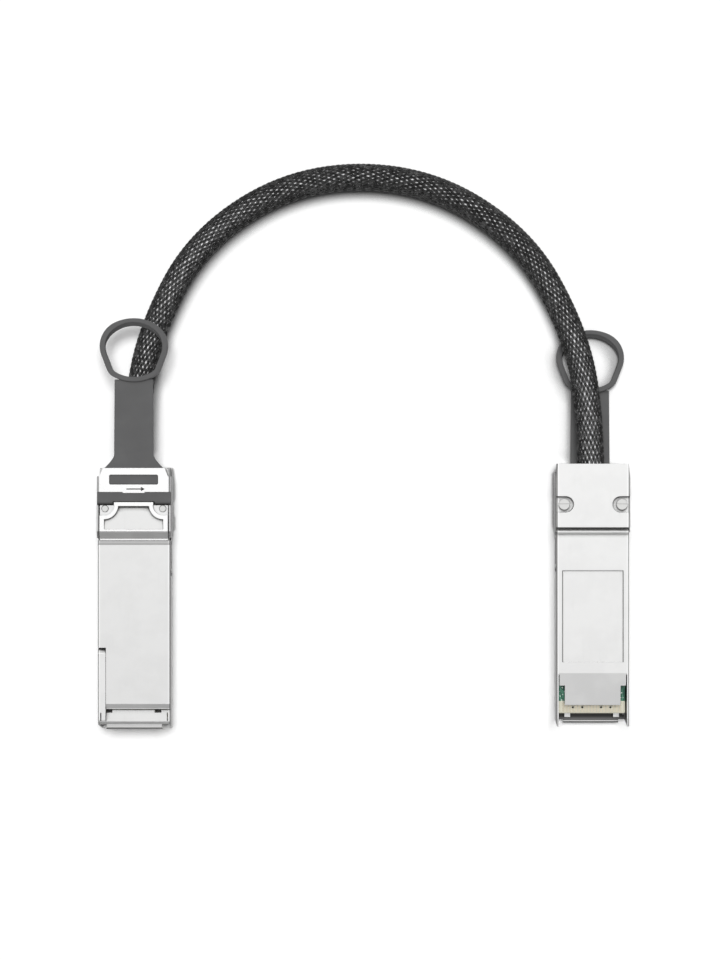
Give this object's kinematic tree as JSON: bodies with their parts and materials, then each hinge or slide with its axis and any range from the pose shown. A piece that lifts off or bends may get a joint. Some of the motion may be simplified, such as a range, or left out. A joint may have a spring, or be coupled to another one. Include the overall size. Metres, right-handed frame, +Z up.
{
  "type": "direct attach copper cable",
  "caption": "Short arch of black braided copper cable with a flat die-cast plug at each end, each plug with a sliding release and a grey rubber finger ring.",
  "frame": {"origin": "on the floor under the middle of the two plugs and their finger rings, without the cable", "axes": "+X from the left plug to the right plug, +Y from the plugs' noses towards the cable arch, +Z up"},
  "size_m": [0.1356, 0.1454, 0.011],
  "materials": {
    "cast_base": "satin nickel-plated zinc die casting",
    "cast_cover": "satin nickel-plated zinc die casting",
    "spring_steel": "bright rolled stainless sheet",
    "grey_rubber": "matte thermoplastic rubber",
    "spring_wire": "drawn spring wire",
    "screw_steel": "zinc-plated steel",
    "circuit_board": "green solder mask over bare laminate at the contacts",
    "contact_gold": "gold plate",
    "chip_plastic": "moulded epoxy",
    "ferrule_brass": "crimped brass",
    "pair_foil": "foil-wrapped wire pairs",
    "potting": "moulded joint block",
    "braid": "black monofilament braid over foil"
  },
  "bodies": {
    "cable_and_shells": {"left_base_shell": "cast_base", "left_top_cover": "cast_cover", "left_outer_spring": "spring_wire", "left_inner_spring": "spring_wire", "left_case_screws": "screw_steel", "left_paddle_card": "circuit_board", "left_contact_pads": "contact_gold", "left_memory_chip": "chip_plastic", "left_cable_ferrule": "ferrule_brass", "left_upper_pairs": "pair_foil", "left_lower_pairs": "pair_foil", "left_joint_potting": "potting", "right_base_shell": "cast_base", "right_top_cover": "cast_cover", "right_outer_spring": "spring_wire", "right_inner_spring": "spring_wire", "right_case_screws": "screw_steel", "right_paddle_card": "circuit_board", "right_contact_pads": "contact_gold", "right_memory_chip": "chip_plastic", "right_cable_ferrule": "ferrule_brass", "right_upper_pairs": "pair_foil", "right_lower_pairs": "pair_foil", "right_joint_potting": "potting", "cable_sleeve": "braid", "cable_core": "pair_foil"},
    "left_release": {"left_release_slider": "spring_steel", "left_pull_tab": "grey_rubber"},
    "right_release": {"right_release_slider": "spring_steel", "right_pull_tab": "grey_rubber"}
  },
  "joints": [
    {"name": "left_release_slide", "type": "slide", "parent": "cable_and_shells", "child": "left_release", "axis": [0, 1, 0], "range_m": [0, 0.0018], "stiffness_N_per_m": 600, "springref_m": -0.001, "deforming": ["left_outer_spring", "left_inner_spring"]},
    {"name": "right_release_slide", "type": "slide", "parent": "cable_and_shells", "child": "right_release", "axis": [0, 1, 0], "range_m": [0, 0.0018], "stiffness_N_per_m": 600, "springref_m": -0.001, "deforming": ["right_outer_spring", "right_inner_spring"]}
  ]
}
